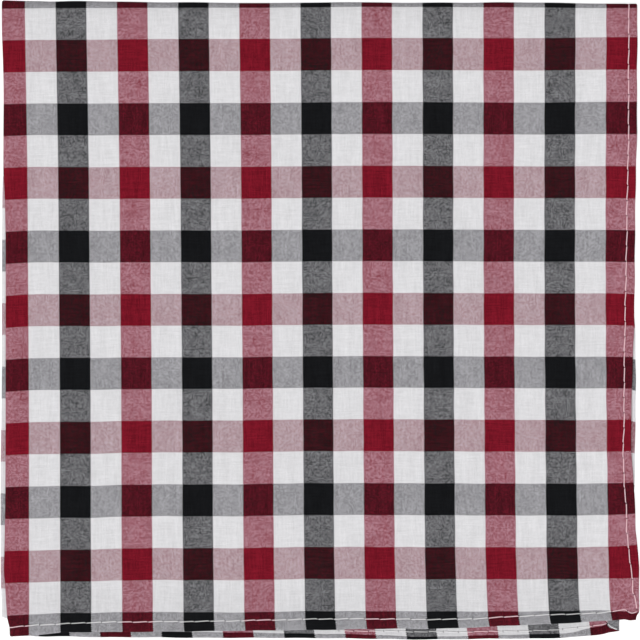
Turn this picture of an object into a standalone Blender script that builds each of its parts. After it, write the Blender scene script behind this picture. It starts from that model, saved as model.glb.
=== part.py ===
"""Pocket square: one hemmed square of cotton gingham, folded in half twice to a flat quarter.

Metres, +Z up. The folded cloth rests on z = 0, with the middle of its outline over the origin.
+Y points to the outer fold along the top, +X to the hems on the right.

The cloth is cut flat, as a grid with its creases at across = 0 and down = 0, thickened, and then
every point is carried round the two folds. The first fold runs down the left side and the second
along the top. From above, the four layers are first, second, third and fourth. First and second
share the upper left crease, third and fourth the lower one; the top fold joins first to fourth
outside and second to third inside it.
"""

import math

import bmesh
import bpy
from mathutils import Vector

MM = 0.001

FOLDED_SIDE = 152.4 * MM
CLOTH_THICK = 1.0 * MM
LAYER_PITCH = 1.4 * MM  # from the middle of one layer to the middle of the next

HEM_WIDE = 2.8 * MM
HEM_STEP = 0.5 * MM  # the slope at the hem's inner edge
HEM_EXTRA = 0.2 * MM  # the turned-in cloth, which lies on the cloth's back
HEM_ROUND = 0.3 * MM  # how near its edge the hem starts to round off
HEM_EDGE_SHARE = 0.55  # the share of its thickness that is left at the very edge
HEM_FADE = 4.0 * MM  # the hem is pressed thinner this near to a crease that it crosses
HEM_LIFT = 0.22  # the share by which the thicker hems hold the layers further apart
HEM_LIFT_REACH = 14.0 * MM

CREASE_STEPS = 4  # grid lines round each side of a crease
FIELD_STEPS = 13
CORNER_LINES = (7.6, 5.6, 4.3)  # grid lines ahead of the hem, in millimetres in from its edge
HEM_MIDDLE = 1.5 * MM

WAVE_SHARE = 0.05  # slow waves in the layers, as a share of their height
WAVES_OVER = 1.3
WAVES_DOWN = 0.9
WAVE_START = 0.6  # radians

FLAT_SLAB = 100 * MM  # any height will do for the slab before it is folded
NORMAL_STEP = 0.02 * MM
SHARP_ANGLE = math.radians(50)

# How far outside (+) or inside (-) the even folded square each edge lies, in millimetres.
# "down" runs from the top fold, 0, to the bottom hems, 1. "over" runs from the left creases, 0,
# to the right hems, 1.
LEFT_CREASES = {
    "down": (0.00, 0.06, 0.14, 0.20, 0.26, 0.33, 0.60, 0.71, 0.80, 0.87, 0.92, 0.95, 0.97, 0.982, 1.00),
    "upper": (
        0.66, 0.45, 0.15, 0.22, 0.24, -0.12, -0.24, -0.22,
        -0.14, 0.06, -0.16, -0.46, -0.75, -1.12, -1.40,
    ),
    "lower": (
        0.66, 0.45, 0.15, 0.22, 0.36, 0.53, 0.62, 0.90,
        0.95, 0.92, 0.84, 0.69, 0.66, -0.90, -1.90,
    ),
}
RIGHT_HEMS = {
    "down": (0.00, 0.12, 0.20, 0.32, 0.48, 0.58, 0.68, 0.76, 0.80, 0.85, 0.90, 0.95, 0.985, 1.00),
    "first": (
        0.33, 0.27, 0.14, -0.14, -0.22, -0.78, -1.12, -0.72,
        -0.26, -0.11, 0.56, 0.72, 0.70, 0.12,
    ),
    "second": (
        -0.30, -0.38, -0.41, -0.46, -0.40, -0.10, -0.12, -0.33,
        -0.80, -1.40, -2.40, -3.50, -4.08, -4.05,
    ),
    "third": (
        -0.30, -0.58, -0.80, -1.15, -1.75, -2.15, -2.57, -2.95,
        -3.15, -3.40, -3.70, -4.00, -4.10, -3.95,
    ),
    "fourth": (
        0.30, -0.10, -0.24, -0.42, -0.95, -1.45, -1.88, -2.40,
        -2.75, -3.20, -3.70, -4.20, -4.50, -4.70,
    ),
}
BOTTOM_HEMS = {
    "over": (0.00, 0.04, 0.08, 0.14, 0.20, 0.31, 0.40, 0.50, 0.60, 0.68, 0.75, 0.80, 0.86, 0.91),
    "first": (
        0.15, -0.28, -0.80, -0.98, -1.00, -1.16, -1.33, -1.49,
        -1.77, -1.80, -2.15, -2.53, -2.87, -3.30,
    ),
    "second": (
        0.00, -0.62, -1.20, -1.50, -1.60, -1.80, -2.00, -2.20,
        -2.30, -2.33, -2.60, -2.90, -3.40, -3.90,
    ),
    "third": (
        -0.50, 0.10, 0.20, 0.36, 0.44, 0.50, 0.51, 0.58,
        0.74, 0.92, 0.84, 0.65, 0.68, 0.47,
    ),
    "fourth": (
        -0.60, -0.42, -0.40, -0.50, -0.55, -0.60, -0.60, -0.60,
        -0.60, -0.60, -0.65, -0.70, -0.80, -1.20,
    ),
}
BOTTOM_HEM_ENDS = {
    "over": (0.91, 0.945, 0.96, 0.974, 0.982, 0.99, 1.00),
    "first": (-3.30, -3.62, -3.76, -3.96, -4.02, -3.80, -3.85),
    "second": (-3.90, -4.25, -4.35, -4.30, -2.25, -1.70, -1.15),
    "third": (0.47, 0.06, -0.22, -0.52, -0.77, -0.92, -1.10),
    "fourth": (-1.20, -1.55, -1.80, -2.05, -2.20, -2.40, -2.60),
}
TOP_FOLD = {
    "over": (0.00, 0.03, 0.15, 0.25, 0.35, 0.50, 0.80, 0.88, 1.00),
    "outward": (1.00, 0.85, 0.73, 0.54, 0.41, 0.46, 0.47, 0.40, 0.17),
}

CLOTH_MEAN = (0.30, 0.17, 0.19)

half_pitch = LAYER_PITCH / 2
crease_across = math.pi * half_pitch / 2  # cloth from a left crease to where its layers lie flat
crease_down = math.pi * LAYER_PITCH / 2  # the same at the top fold, at its mean radius
outer_fold_radius = LAYER_PITCH + half_pitch
flat_over = FOLDED_SIDE - CLOTH_THICK / 2 - half_pitch
flat_down = FOLDED_SIDE - CLOTH_THICK / 2 - outer_fold_radius
cloth_half_across = flat_over + crease_across
cloth_half_down = flat_down + crease_down


def clear_scene():
    """Takes away whatever the scene holds."""
    for old in list(bpy.data.objects):
        bpy.data.objects.remove(old, do_unlink=True)


def smooth_step(share):
    """0 to 1 with level ends, for a share that is held between 0 and 1."""
    held = min(1.0, max(0.0, share))
    return held * held * (3 - 2 * held)


def along(stations, values, place):
    """The smooth curve through a table's values, in metres, read at a place from 0 to 1."""
    place = min(stations[-1], max(stations[0], place))
    last = len(stations) - 1
    i = max(n for n in range(last) if stations[n] <= place)

    def slope(n):
        before = max(n - 1, 0)
        after = min(n + 1, last)
        return (values[after] - values[before]) / (stations[after] - stations[before])

    gap = stations[i + 1] - stations[i]
    t = (place - stations[i]) / gap
    start = values[i] * (1 + 2 * t) * (1 - t) ** 2 + slope(i) * gap * t * (1 - t) ** 2
    end = values[i + 1] * (3 - 2 * t) * t**2 - slope(i + 1) * gap * (1 - t) * t**2
    return (start + end) * MM


def bottom_outward(layer, over_share):
    """How far outward a layer's bottom hem lies, from the two tables for it."""
    at_end = over_share > BOTTOM_HEM_ENDS["over"][0]
    table = BOTTOM_HEM_ENDS if at_end else BOTTOM_HEMS
    return along(table["over"], table[layer], over_share)


def layer_name(across, down):
    """The layer that a point of the flat cloth lies in, counted from the top of the folded cloth."""
    if down > 0:
        return "first" if across > 0 else "second"
    return "fourth" if across > 0 else "third"


def edge_distance(across, down):
    """From a point of the flat cloth to its nearest hemmed edge."""
    return min(cloth_half_across - abs(across), cloth_half_down - abs(down))


def folded(across, down):
    """Where the middle of the cloth's thickness goes, for a point of the flat cloth."""
    layer = layer_name(across, down)
    pair = "upper" if down > 0 else "lower"
    over_flat = max(0.0, abs(across) - crease_across)
    down_flat = max(0.0, abs(down) - crease_down)
    over_share = over_flat / flat_over
    down_share = down_flat / flat_down

    round_crease = min(abs(across), crease_across) / half_pitch
    lean = math.copysign(half_pitch * math.sin(round_crease), across)
    x = half_pitch * (1 - math.cos(round_crease)) + over_flat

    radius = LAYER_PITCH + lean
    round_fold = math.pi / 2 * min(abs(down), crease_down) / crease_down
    y = radius * math.cos(round_fold) - down_flat
    z = outer_fold_radius + math.copysign(radius * math.sin(round_fold), down)

    left_out = along(LEFT_CREASES["down"], LEFT_CREASES[pair], down_share)
    right_out = along(RIGHT_HEMS["down"], RIGHT_HEMS[layer], down_share)
    top_out = along(TOP_FOLD["over"], TOP_FOLD["outward"], over_share)
    bottom_out = bottom_outward(layer, over_share)
    x += over_share * right_out - (1 - over_share) * left_out
    y += (1 - down_share) * top_out - down_share * bottom_out

    lifted = HEM_LIFT * smooth_step(1 - edge_distance(across, down) / HEM_LIFT_REACH)
    over_wave = math.sin(2 * math.pi * WAVES_OVER * over_share + WAVE_START)
    down_wave = math.cos(2 * math.pi * WAVES_DOWN * down_share)
    z *= 1 + lifted + WAVE_SHARE * over_wave * down_wave
    return Vector((
        x - FOLDED_SIDE / 2 + CLOTH_THICK / 2,
        y + FOLDED_SIDE / 2 - CLOTH_THICK / 2 - outer_fold_radius,
        z + CLOTH_THICK / 2,
    ))


def facing(across, down):
    """The unit normal of the folded cloth on its back, the side that its hems are turned to."""
    run_across = folded(across + NORMAL_STEP, down) - folded(across - NORMAL_STEP, down)
    run_down = folded(across, down + NORMAL_STEP) - folded(across, down - NORMAL_STEP)
    return run_across.cross(run_down).normalized()


def thickness_to(back, across, down):
    """How far the cloth's face, or its back with the hem on it, lies from its middle."""
    reach = CLOTH_THICK / 2
    to_edge = edge_distance(across, down)
    if back:
        from_crease = min(abs(across) - crease_across, abs(down) - crease_down)
        hem = smooth_step((HEM_WIDE + HEM_STEP - to_edge) / HEM_STEP)
        reach += HEM_EXTRA * hem * smooth_step(from_crease / HEM_FADE)
    if to_edge < HEM_ROUND:
        reach *= HEM_EDGE_SHARE + (1 - HEM_EDGE_SHARE) * math.sqrt(to_edge / HEM_ROUND)
    return reach


def grid_lines(crease, half):
    """The grid's lines over the whole cloth, close together at the crease and at the hems."""
    round_crease = [crease * n / CREASE_STEPS for n in range(CREASE_STEPS)]
    ahead_of_hem = [half - line * MM for line in CORNER_LINES]
    field = ahead_of_hem[0] - crease
    over_field = [crease + field * n / FIELD_STEPS for n in range(FIELD_STEPS)]
    hem_insets = (HEM_WIDE + HEM_STEP, HEM_WIDE, HEM_MIDDLE, HEM_ROUND, 0.0)
    over_hem = [half - inset for inset in hem_insets]
    one_side = round_crease + over_field + ahead_of_hem + over_hem
    return [-line for line in reversed(one_side[1:])] + one_side


def cloth_solid():
    """The flat cloth as a closed slab, each point then carried to its folded place."""
    lines_across = grid_lines(crease_across, cloth_half_across)
    lines_down = grid_lines(crease_down, cloth_half_down)
    shape = bmesh.new()
    bmesh.ops.create_grid(
        shape, x_segments=len(lines_across) - 1, y_segments=len(lines_down) - 1, size=1.0
    )
    raised = bmesh.ops.extrude_face_region(shape, geom=shape.faces[:])
    back_points = {item for item in raised["geom"] if isinstance(item, bmesh.types.BMVert)}
    bmesh.ops.translate(shape, verts=list(back_points), vec=(0.0, 0.0, FLAT_SLAB))
    bmesh.ops.recalc_face_normals(shape, faces=shape.faces[:])
    for point in shape.verts:
        column = round((point.co.x + 1) / 2 * (len(lines_across) - 1))
        row = round((point.co.y + 1) / 2 * (len(lines_down) - 1))
        across = lines_across[column]
        down = lines_down[row]
        back = point in back_points
        offset = thickness_to(back, across, down) * (1 if back else -1)
        point.co = folded(across, down) + facing(across, down) * offset
    return shape


def centre_over_origin(shape):
    """Moves the middle of the outline over the origin, and the underside to z = 0."""
    spans = [sorted(point.co[axis] for point in shape.verts) for axis in range(3)]
    middle_x = (spans[0][0] + spans[0][-1]) / 2
    middle_y = (spans[1][0] + spans[1][-1]) / 2
    bmesh.ops.translate(
        shape, verts=shape.verts[:], vec=(-middle_x, -middle_y, -spans[2][0])
    )


def cotton_material():
    """Woven cotton in the mean colour of the checks, without its pattern."""
    material = bpy.data.materials.new("checked_cotton")
    material.use_nodes = True
    shader = material.node_tree.nodes["Principled BSDF"]
    shader.inputs["Base Color"].default_value = (*CLOTH_MEAN, 1.0)
    shader.inputs["Roughness"].default_value = 0.9
    shader.inputs["Metallic"].default_value = 0.0
    return material


def main():
    clear_scene()
    shape = cloth_solid()
    centre_over_origin(shape)
    mesh = bpy.data.meshes.new("pocket_square")
    shape.to_mesh(mesh)
    shape.free()
    cloth = bpy.data.objects.new("pocket_square", mesh)
    bpy.context.scene.collection.objects.link(cloth)
    mesh.materials.append(cotton_material())
    mesh.shade_smooth()
    mesh.set_sharp_from_angle(angle=SHARP_ANGLE)


main()
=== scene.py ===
"""Looks of the pocket square: its gingham cotton, its stitched hems and the pale table it lies on.

Metres, +Z up, in the model's own frame. The cloth is made flat, as one sheet with its double-turned
hems, and every point of it is then carried round two folds: the first down the left side, the
second along the top. From above, the four layers are first, second, third and fourth. The cloth's
face is up on the first and third, and its back, with the hems turned onto it, on the others.
"""

import math

import bpy
import numpy as np
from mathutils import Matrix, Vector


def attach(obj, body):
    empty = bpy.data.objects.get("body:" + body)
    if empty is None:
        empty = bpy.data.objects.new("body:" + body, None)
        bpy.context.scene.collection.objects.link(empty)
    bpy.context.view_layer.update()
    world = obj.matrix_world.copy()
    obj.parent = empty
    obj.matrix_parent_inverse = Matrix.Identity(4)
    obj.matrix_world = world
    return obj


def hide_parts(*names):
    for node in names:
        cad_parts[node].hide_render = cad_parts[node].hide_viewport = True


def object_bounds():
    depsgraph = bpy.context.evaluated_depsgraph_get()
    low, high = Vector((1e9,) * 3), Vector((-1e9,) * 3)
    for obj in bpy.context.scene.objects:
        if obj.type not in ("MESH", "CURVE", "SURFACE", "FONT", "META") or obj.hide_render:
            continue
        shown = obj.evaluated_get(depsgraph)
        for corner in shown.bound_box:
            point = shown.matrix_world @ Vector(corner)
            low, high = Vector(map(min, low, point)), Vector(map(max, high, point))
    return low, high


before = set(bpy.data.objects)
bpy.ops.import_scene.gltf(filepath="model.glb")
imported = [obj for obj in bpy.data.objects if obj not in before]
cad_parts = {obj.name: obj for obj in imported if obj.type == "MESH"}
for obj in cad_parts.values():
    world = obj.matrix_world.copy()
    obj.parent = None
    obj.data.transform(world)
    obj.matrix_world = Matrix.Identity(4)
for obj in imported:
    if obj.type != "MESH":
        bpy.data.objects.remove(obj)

bl_info = {
    "name": "Folded pocket square",
    "version": (1, 0, 0),
    "blender": (4, 5, 0),
    "location": "View3D > Sidebar > Pocket square",
    "description": "Gingham pocket square with stitched hems, folded in four",
    "category": "Object",
}

MM = 0.001
ROOT = "root"
SOLID = "pocket_square"
CLOTH = "pocket_square_cloth"
STITCHING = "hem_stitching"
CAD_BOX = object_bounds()

# How far outside (+) or inside (-) the even folded square each edge lies, in millimetres.
# "down" runs from the top fold, 0, to the bottom hems, 1. "over" runs from the left creases, 0,
# to the right hems, 1. Each table's first row holds the stations of its other rows.
LEFT_CREASES = {
    "down": (
        0.00, 0.045, 0.09, 0.14, 0.20, 0.265, 0.31, 0.38, 0.59, 0.66, 0.71,
        0.78, 0.86, 0.90, 0.915, 0.943, 0.963, 0.970, 0.9735, 0.976, 0.985, 1.00,
    ),
    "upper": (
        0.66, 0.55, 0.30, 0.15, 0.20, 0.16, -0.15, -0.34, -0.34, -0.34, -0.32,
        -0.26, -0.06, 0.07, -0.16, -0.42, -0.64, -0.75, -0.84, -0.92, -1.24, -1.40,
    ),
    "lower": (
        0.66, 0.50, 0.30, 0.15, 0.22, 0.37, 0.51, 0.58, 0.66, 0.76, 0.90,
        0.95, 0.92, 0.92, 0.86, 0.70, 0.66, 0.66, 0.60, -0.60, -1.45, -1.90,
    ),
}
RIGHT_HEMS = {
    "down": (
        0.00, 0.05, 0.12, 0.20, 0.25, 0.32, 0.40, 0.48, 0.52, 0.58, 0.64, 0.71,
        0.75, 0.77, 0.80, 0.85, 0.87, 0.90, 0.92, 0.96, 0.987, 0.993, 1.00,
    ),
    "first": (
        0.36, 0.37, 0.24, 0.30, 0.07, -0.16, -0.27, -0.37, -0.47, -0.78, -1.04, -1.18,
        -0.89, -0.63, -0.28, -0.11, 0.27, 0.58, 0.76, 0.75, 0.68, 0.15, -0.02,
    ),
    "second": (
        -0.30, -0.33, -0.38, -0.41, -0.43, -0.46, -0.50, -0.42, -0.18, -0.03, -0.07, -0.22,
        -0.30, -0.36, -0.80, -1.40, -1.80, -2.40, -2.90, -3.70, -4.08, -4.07, -4.05,
    ),
    "third": (
        -0.30, -0.42, -0.58, -0.80, -0.95, -1.15, -1.40, -1.75, -1.90, -2.15, -2.40, -2.70,
        -2.90, -3.00, -3.15, -3.40, -3.50, -3.70, -3.80, -4.05, -4.10, -4.03, -3.95,
    ),
    "fourth": (
        0.30, 0.13, -0.10, -0.24, -0.31, -0.42, -0.65, -0.95, -1.15, -1.45, -1.70, -2.00,
        -2.30, -2.50, -2.75, -3.20, -3.40, -3.70, -3.90, -4.30, -4.50, -4.60, -4.70,
    ),
}
BOTTOM_HEMS = {
    "over": (
        0.00, 0.03, 0.055, 0.08, 0.135, 0.20, 0.31, 0.38, 0.50, 0.60, 0.66,
        0.71, 0.75, 0.80, 0.86, 0.91, 0.945, 0.96, 0.974, 0.982, 0.99, 1.00,
    ),
    "first": (
        0.15, -0.12, -0.50, -0.80, -0.98, -1.00, -1.16, -1.29, -1.49, -1.77, -1.76,
        -1.88, -2.15, -2.53, -2.87, -3.30, -3.62, -3.76, -3.96, -4.02, -3.76, -3.85,
    ),
    "second": (
        0.00, -0.50, -0.80, -1.20, -1.50, -1.60, -1.80, -1.95, -2.20, -2.30, -2.30,
        -2.40, -2.60, -2.90, -3.40, -3.90, -4.25, -4.35, -4.30, -2.25, -1.70, -1.15,
    ),
    "third": (
        -0.50, 0.08, 0.20, 0.16, 0.36, 0.38, 0.53, 0.53, 0.60, 0.76, 0.93,
        0.88, 0.83, 0.70, 0.70, 0.47, 0.08, -0.12, -0.46, -0.77, -0.92, -1.10,
    ),
    "fourth": (
        -0.60, -0.45, -0.40, -0.40, -0.50, -0.55, -0.60, -0.60, -0.60, -0.60, -0.60,
        -0.60, -0.65, -0.70, -0.80, -1.20, -1.55, -1.80, -2.05, -2.20, -2.40, -2.60,
    ),
}
TOP_FOLD = {
    "over": (
        0.00, 0.03, 0.057, 0.075, 0.112, 0.16, 0.20, 0.25, 0.30, 0.35, 0.42,
        0.50, 0.54, 0.60, 0.635, 0.69, 0.735, 0.78, 0.83, 0.87, 0.92, 1.00,
    ),
    "outward": (
        1.00, 0.84, 0.78, 0.68, 0.83, 0.70, 0.65, 0.48, 0.54, 0.38, 0.35,
        0.46, 0.54, 0.48, 0.37, 0.47, 0.38, 0.54, 0.44, 0.43, 0.23, 0.17,
    ),
}

# Where the first and last whole check of the first layer start and end, in millimetres in from
# the even square's sides. Nineteen checks lie between them, both ways. Strays are how far the
# checks between them lie off an even spacing, to the right or upwards: each is a size from one
# table times a share from another. Rows have more of them near the left and right.
WHOLE_CHECKS = 19
FIRST_COLUMN = {
    "down": (0.00, 0.02, 0.24, 0.43, 0.64, 0.84, 0.94, 1.00),
    "inset": (5.00, 5.02, 5.50, 5.68, 5.87, 5.88, 5.90, 5.92),
    "stray": (0.00, 0.05, 0.22, 0.34, 0.41, 0.41, 0.50, 0.50),
}
LAST_COLUMN = {
    "down": (0.00, 0.03, 0.24, 0.445, 0.653, 0.857, 0.92, 0.957, 0.975, 0.988, 1.00),
    "inset": (7.02, 7.04, 7.20, 7.26, 7.07, 6.63, 6.50, 6.38, 6.30, 6.15, 5.76),
    "stray": (-0.20, -0.20, -0.15, -0.11, -0.12, -0.22, -0.15, 0.00, 0.00, 0.00, 0.00),
}
COLUMN_STRAY = {
    "over": (0.00, 0.06, 0.16, 0.25, 0.36, 0.46, 0.54, 0.65, 0.80, 0.90, 1.00),
    "left": (0.00, 0.50, 0.85, 1.00, 0.85, 0.62, 0.27, 0.15, 0.00, 0.00, 0.00),
    "right": (0.00, 0.00, 0.00, 0.05, 0.15, 0.20, 0.30, 0.60, 1.10, 0.75, 0.00),
}
ROWS = {
    "over": (0.00, 0.04, 0.07, 0.13, 0.20, 0.26, 0.33, 0.38, 0.45, 0.55, 0.65, 0.84, 0.94, 1.00),
    "first": (1.10, 1.05, 0.99, 0.99, 0.95, 0.92, 0.90, 0.89, 0.83, 0.68, 0.66, 0.84, 0.97, 0.95),
    "last": (4.75, 5.26, 5.50, 5.65, 5.75, 5.74, 5.66, 5.67, 5.90, 5.95, 5.90, 5.92, 6.19, 5.88),
    "high": (0.00,) * 3 + (0.06, 0.14, 0.20, 0.21, 0.22, 0.22, 0.21, 0.20, 0.33, 0.48, 0.48),
    "low": (0.00,) * 3 + (0.05, 0.12, 0.17, 0.23, 0.27, 0.28, 0.28, 0.27, 0.20, 0.00, 0.00),
    "left_high": (0.20, 0.23, 0.15) + (0.00,) * 11,
    "left_low": (0.25, -0.05, -0.14, -0.21, -0.04) + (0.00,) * 9,
    "right_high": (0.00,) * 12 + (0.25, 0.25),
    "right_low": (0.00,) * 13 + (0.70,),
}
ROW_STRAY = {
    "down": (0.00, 0.01, 0.055, 0.11, 0.16, 0.25, 0.38, 0.52, 0.60, 0.68, 0.76, 0.88, 0.93, 1.00),
    "high": (0.00, 0.00, 0.90, 0.35, 0.20, 0.05) + (0.00,) * 8,
    "low": (0.00,) * 5 + (0.05, 0.15, 0.35, 0.80, 1.00, 0.78, 0.60, 0.35, 0.00),
    "left_high": (0.00, 0.00, 0.30, 0.20, 0.50, 0.90, 1.00, 0.90, 0.80, 0.70, 0.35) + (0.00,) * 3,
    "left_low": (0.00,) * 8 + (0.10, 0.45, 0.90, 1.00, 0.80, 0.00),
    "right_high": (0.00, 0.00, 0.95, 0.80, 0.85, 0.35) + (0.00,) * 8,
    "right_low": (0.00,) * 7 + (0.05, 0.30, 0.58, 0.70, 1.10, 0.75, -0.40),
}
# Counts of checks from the first layer's first whole one, at the other layers' ends.
OTHER_COLUMNS = {
    "down": (0.00, 0.15, 0.28, 0.50, 0.76, 0.90, 1.00),
    "lower_crease": (-0.75, -0.95, -1.05, -1.05, -1.05, -1.05, -1.12),
    "second": (-21.40, -21.38, -21.36, -21.35, -21.35, -21.38, -21.40),
    "third": (-21.40, -21.45, -21.48, -21.45, -21.30, -21.10, -20.93),
    "fourth": (20.00, 19.85, 19.70, 19.55, 19.45, 19.35, 19.30),
}
OTHER_ROWS = {
    "over": (
        0.00, 0.04, 0.09, 0.14, 0.28, 0.38, 0.48, 0.58,
        0.68, 0.78, 0.88, 0.93, 0.953, 0.97, 1.00,
    ),
    "third": (
        -20.42, -20.42, -20.34, -20.28, -20.19, -20.17, -20.14, -20.13,
        -20.09, -20.11, -20.14, -20.15, -20.26, -20.26, -20.37,
    ),
}
LOWER_STRAY = 0.3  # how much of the first layer's column strays the layers under it show
LOWER_ROWS_START = -0.62  # the lower layers' count where they leave the top fold
FOURTH_ROWS_END = -20.10
SECOND_ROWS_SLIP = 0.08  # the second layer's rows lie this share of a check lower at its hem

# How far the stitches lie in from the hem's edge, in millimetres.
SIDE_SEAMS = {
    "down": (
        0.00, 0.05, 0.12, 0.20, 0.25, 0.32, 0.38, 0.45, 0.50, 0.55, 0.59, 0.62, 0.65, 0.68,
        0.71, 0.74, 0.77, 0.79, 0.82, 0.84, 0.87, 0.905, 0.936, 0.952, 0.960, 0.967, 1.00,
    ),
    "first": (
        2.05, 2.12, 2.05, 2.10, 1.99, 2.03, 2.02, 2.16, 2.24, 2.16, 2.05, 1.90, 1.84, 1.77,
        1.89, 2.12, 2.27, 2.32, 2.14, 2.16, 2.19, 2.12, 1.58, 1.51, 1.19, 0.92, 0.30,
    ),
    "others": (
        2.05, 2.04, 2.03, 2.01, 1.99, 1.95, 1.92, 1.90, 1.92, 1.95, 1.97, 1.98, 2.00, 2.02,
        2.05, 2.05, 2.03, 2.00, 1.95, 1.95, 1.95, 2.00, 2.05, 2.08, 2.10, 2.10, 2.10,
    ),
}
FOOT_SEAMS = {
    "over": (
        0.00, 0.04, 0.07, 0.13, 0.20, 0.31, 0.40, 0.50, 0.54, 0.60, 0.66,
        0.76, 0.86, 0.90, 0.94, 0.955, 0.970, 0.977, 0.985, 0.990, 1.00,
    ),
    "first": (
        2.20, 2.42, 2.12, 2.33, 2.44, 2.42, 2.53, 2.68, 2.57, 2.38, 2.29,
        2.18, 2.30, 2.20, 2.05, 2.30, 2.45, 2.40, 1.88, 1.88, 2.20,
    ),
    "second": (2.20,) * 16 + (1.60, 0.95, 0.40, 0.25, 0.22),
    "lower": (
        1.80, 1.85, 1.90, 2.00, 2.20, 2.35, 2.45, 2.40, 1.84, 1.90, 1.92,
        1.76, 1.88, 2.05, 2.25, 2.30, 2.34, 2.36, 2.60, 2.80, 2.80,
    ),
}
# Where the stitching stops, as shares down the side or over the bottom.
FIRST_SIDE_END = 0.983
SECOND_SIDE_END = 0.950
THIRD_SIDE_END = 0.980
THIRD_FOOT_END = 0.986

# Half the distance between a pair's two layers, and the gap between the two pairs.
PAIR_HALF = {"field": 0.40 * MM, "crease": 0.36 * MM, "hem": 0.72 * MM}
MIDDLE_GAP = {"field": 0.70 * MM, "hem": 0.56 * MM}
CREASE_REACH = 25 * MM  # how far in from the left creases the pairs are pressed closer
HEM_REACH = 14 * MM  # how far in from the hems their thickness lifts the layers
FOLD_PRESSED = 0.5  # how much thinner the stack of layers is right at the top fold
FOLD_PRESSED_REACH = 1.7 * MM
INNER_FOLD_NIP = 0.55  # how much thinner the two inner layers are pressed where they fold
THREAD_LIFT = 0.17 * MM  # the stitches underneath hold the cloth this far off the table
THREAD_LIFT_REACH = 9 * MM

# How each layer swells away from the one under it in slow waves: how far, in millimetres, how
# many waves over and down, and where they start.
SWELLS = {
    "third": (0.08, 1.7, 2.1, 0.4),
    "second": (0.10, 2.3, 1.3, 2.1),
    "first": (0.30, 1.4, 1.9, 4.3),
}
SWELL_START = 0.12  # share of the way down at which the swells are full
EDGE_RIPPLE = 0.05 * MM
EDGE_RIPPLES = 13.0
RIPPLE_DRIFT_OVER = 3  # radians by which a side's ripples shift from left to right
RIPPLE_DRIFT_DOWN = 4  # radians by which the foot's ripples shift from top to bottom

HEM_STEP = 0.14 * MM  # how wide the step down from a hem to the single cloth is
HEM_PRESSED = 0.75  # how much of a hem's extra thickness is left at the folds
HEM_PRESSED_REACH = 4.0 * MM
SEAM_TROUGH = 0.10 * MM
SEAM_TROUGH_WIDTH = 0.45 * MM
EDGE_MIN_SHARE = 0.15  # how much of its thickness the cloth keeps right at its edge
NORMAL_STEP = 0.02 * MM  # how far to each side a point's normal is read

CREASE_STEPS = 7
HEM_LINES = (
    5.80, 4.70, 4.10, 3.70, 3.30, 2.94, 2.80, 2.50, 2.20, 1.90, 1.60, 1.30, 1.00,
    0.70, 0.40, 0.20, 0.07, 0.0,
)
SHOWN_STEP = 1.8 * MM
HIDDEN_STEP = 2.7 * MM
SMOOTH_ANGLE = math.radians(55)

LAYERS = ("first", "second", "third", "fourth")


def deselect_all():
    """Operators act on what is selected, so nothing is left selected."""
    for item in bpy.context.selected_objects:
        item.select_set(False)


def select_only(*items):
    """Selects some objects and makes the first one active."""
    deselect_all()
    for item in items:
        item.select_set(True)
    bpy.context.view_layer.objects.active = items[0]


def between(first, last, share):
    """What lies a share of the way from first to last."""
    return first + (last - first) * share


def direction(vectors):
    """The same directions, one unit long."""
    return vectors / np.linalg.norm(vectors, axis=-1, keepdims=True)


def smooth_step(share):
    """0 to 1 with level ends, for shares held between 0 and 1."""
    held = np.clip(share, 0.0, 1.0)
    return held * held * (3 - 2 * held)


def along(table, row, places):
    """The smooth curve through one of a table's rows, read at places among its stations."""
    at = np.array(next(iter(table.values())))
    values = np.array(table[row])
    last = len(at) - 1
    before = np.maximum(np.arange(last + 1) - 1, 0)
    after = np.minimum(np.arange(last + 1) + 1, last)
    slopes = (values[after] - values[before]) / (at[after] - at[before])
    held = np.clip(places, at[0], at[-1])
    i = np.clip(np.searchsorted(at, held, side="right") - 1, 0, last - 1)
    gap = at[i + 1] - at[i]
    t = (held - at[i]) / gap
    start = values[i] * (1 + 2 * t) * (1 - t) ** 2 + slopes[i] * gap * t * (1 - t) ** 2
    end = values[i + 1] * (3 - 2 * t) * t**2 - slopes[i + 1] * gap * (1 - t) * t**2
    return start + end


def by_layer(across, down, first, second, third, fourth):
    """The value for the layer that each point of the flat cloth lies in."""
    upper = np.where(across > 0, first, second)
    lower = np.where(across > 0, fourth, third)
    return np.where(down > 0, upper, lower)


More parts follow.
